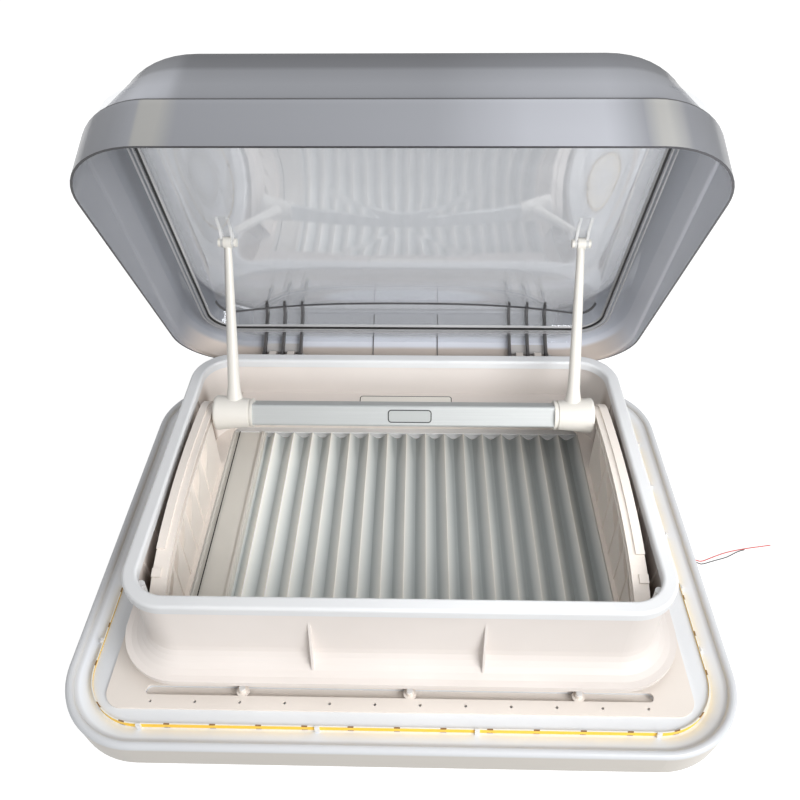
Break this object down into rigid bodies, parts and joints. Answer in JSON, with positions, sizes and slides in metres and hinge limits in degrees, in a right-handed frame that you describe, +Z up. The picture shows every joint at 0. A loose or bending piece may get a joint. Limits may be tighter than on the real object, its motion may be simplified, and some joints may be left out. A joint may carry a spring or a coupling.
{
  "type": "caravan roof vent",
  "caption": "Rectangular roof vent with a tilting smoked dome on rear hinges, a lift bow in arched guide rails, a pleated blind, a fly screen and a lit ceiling trim.",
  "frame": {"origin": "centre of the roof cut-out, on the roof's outer face under the collar's flange", "axes": "+Z up out of the roof, +X along the long side to the right as seen from the opening side, -Y towards the side where the dome opens"},
  "size_m": [1.0546, 0.7364, 0.7245],
  "materials": {
    "white_plastic": "satin",
    "cream_plastic": "satin",
    "rim_plastic": "gloss",
    "strip_film": "satin",
    "steel": "satin",
    "bar_aluminium": "satin",
    "ivory_plastic": "satin",
    "smoked_acrylic": "gloss",
    "clear_acrylic": "gloss",
    "black_rubber": "matte",
    "grey_rubber": "matte",
    "red_sleeve": "satin",
    "black_sleeve": "satin",
    "rail_grey": "satin",
    "blind_cloth": "matte",
    "screen_mesh": "matte"
  },
  "bodies": {
    "frame": {"ceiling_trim": "white_plastic", "light_frame": "white_plastic", "led_strip": "strip_film", "led_clips": "white_plastic", "blind_cassette": "cream_plastic", "clamp_screws": "steel", "guide_front": "white_plastic", "guide_rear": "white_plastic", "collar": "cream_plastic", "rim_seal": "rim_plastic", "rail_left": "cream_plastic", "rail_right": "cream_plastic", "rail_stops": "white_plastic", "hinge_base_left": "cream_plastic", "hinge_base_right": "cream_plastic", "hinge_pin_left": "steel", "hinge_pin_right": "steel", "lead_grommet": "grey_rubber", "lead_red": "red_sleeve", "lead_black": "black_sleeve", "pleated_blind": "blind_cloth", "flyscreen": "screen_mesh"},
    "dome": {"dome_shell": "smoked_acrylic", "inner_pane": "clear_acrylic", "pane_seal": "black_rubber", "hinge_leaf_left": "black_sleeve", "hinge_leaf_right": "black_sleeve", "arm_bracket_left": "clear_acrylic", "arm_bracket_right": "clear_acrylic", "pivot_pin_left": "ivory_plastic", "pivot_pin_right": "ivory_plastic"},
    "bow": {"crossbar": "bar_aluminium", "end_block_left": "ivory_plastic", "end_block_right": "ivory_plastic", "arm_left": "ivory_plastic", "arm_right": "ivory_plastic", "guide_pin_left": "ivory_plastic", "guide_pin_right": "ivory_plastic"},
    "blind": {"blind_rail": "rail_grey"},
    "screen": {"screen_rail": "rail_grey"}
  },
  "joints": [
    {"name": "dome_hinge", "type": "hinge", "parent": "frame", "child": "dome", "pos_m": [0, 0.286, 0.108], "axis": [1, 0, 0], "range_deg": [0, 68]},
    {"name": "bow_hinge", "type": "hinge", "parent": "dome", "child": "bow", "pos_m": [0, 0.252, 0.35527], "axis": [1, 0, 0], "range_deg": [-111.2, 0]},
    {"name": "blind_slide", "type": "slide", "parent": "frame", "child": "blind", "axis": [1, 0, 0], "range_m": [0, 0.53], "deforming": ["pleated_blind"]},
    {"name": "screen_slide", "type": "slide", "parent": "frame", "child": "screen", "axis": [1, 0, 0], "range_m": [0, 0.53], "deforming": ["flyscreen"]}
  ],
  "couplings": [
    {"joint": "bow_hinge", "follows": "dome_hinge", "ratio": -1.6353},
    {"joint": "screen_slide", "follows": "blind_slide", "ratio": 1}
  ]
}
